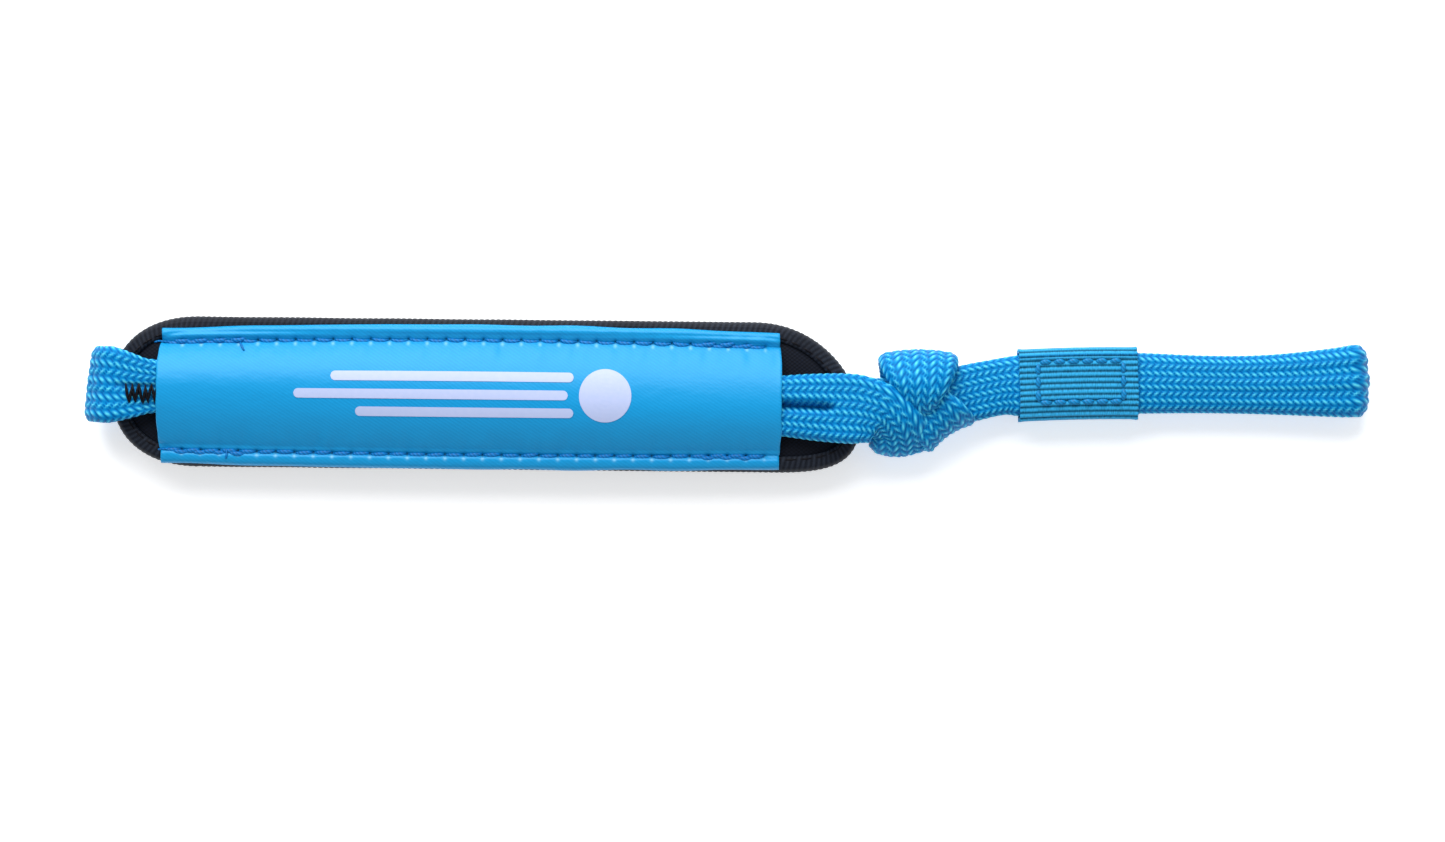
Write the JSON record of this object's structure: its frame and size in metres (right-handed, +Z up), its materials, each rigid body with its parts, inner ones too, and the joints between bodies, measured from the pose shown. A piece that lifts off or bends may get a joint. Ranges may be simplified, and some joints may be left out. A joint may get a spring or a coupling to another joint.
{
  "type": "padded racket wrist strap",
  "caption": "Flat braided cord knotted into a wrist loop and a racket loop, with a padded black cuff, a satin sleeve and a sliding ribbon keeper.",
  "frame": {"origin": "middle of the strap's footprint, on the surface that it lies on", "axes": "+X from the wrist loop towards the racket loop, +Z up through the strap's thickness, the sleeve uppermost"},
  "size_m": [0.2074, 0.0252, 0.0118],
  "materials": {
    "braided_cord": "shiny braided polyester",
    "satin_ribbon": "satin weave",
    "grosgrain_ribbon": "ribbed grosgrain weave",
    "blue_thread": "sewing thread",
    "black_thread": "sewing thread",
    "black_knit": "matte knit",
    "black_tape": "ribbed binding tape",
    "foam": "closed-cell foam",
    "print_ink": "screen print"
  },
  "bodies": {
    "wrist_loop": {"cord_back_run": "braided_cord", "cord_front_run": "braided_cord", "cord_join_tack": "black_thread", "overhand_knot": "braided_cord"},
    "pad": {"pad_back_cover": "black_knit", "pad_foam_core": "foam", "pad_front_cover": "black_knit", "pad_edge_binding": "black_tape", "pad_binding_seam": "black_thread", "sleeve_ribbon": "satin_ribbon", "sleeve_upper_seam": "blue_thread", "sleeve_lower_seam": "blue_thread", "sleeve_print": "print_ink"},
    "racket_loop": {"racket_loop_cord": "braided_cord"},
    "keeper": {"keeper_ribbon": "grosgrain_ribbon", "keeper_seam": "blue_thread"}
  },
  "joints": [
    {"name": "pad_slide", "type": "slide", "parent": "wrist_loop", "child": "pad", "axis": [0.9999, -0.0105, 0], "range_m": [-0.0006, 0.0006]},
    {"name": "tail_bend", "type": "hinge", "parent": "wrist_loop", "child": "racket_loop", "pos_m": [0.04256, 0.00118, 0.00345], "axis": [0.0166, -0.9999, 0], "range_deg": [-65, 65]},
    {"name": "keeper_slide", "type": "slide", "parent": "racket_loop", "child": "keeper", "axis": [0.9999, 0.0166, 0], "range_m": [-0.001, 0.02]}
  ]
}
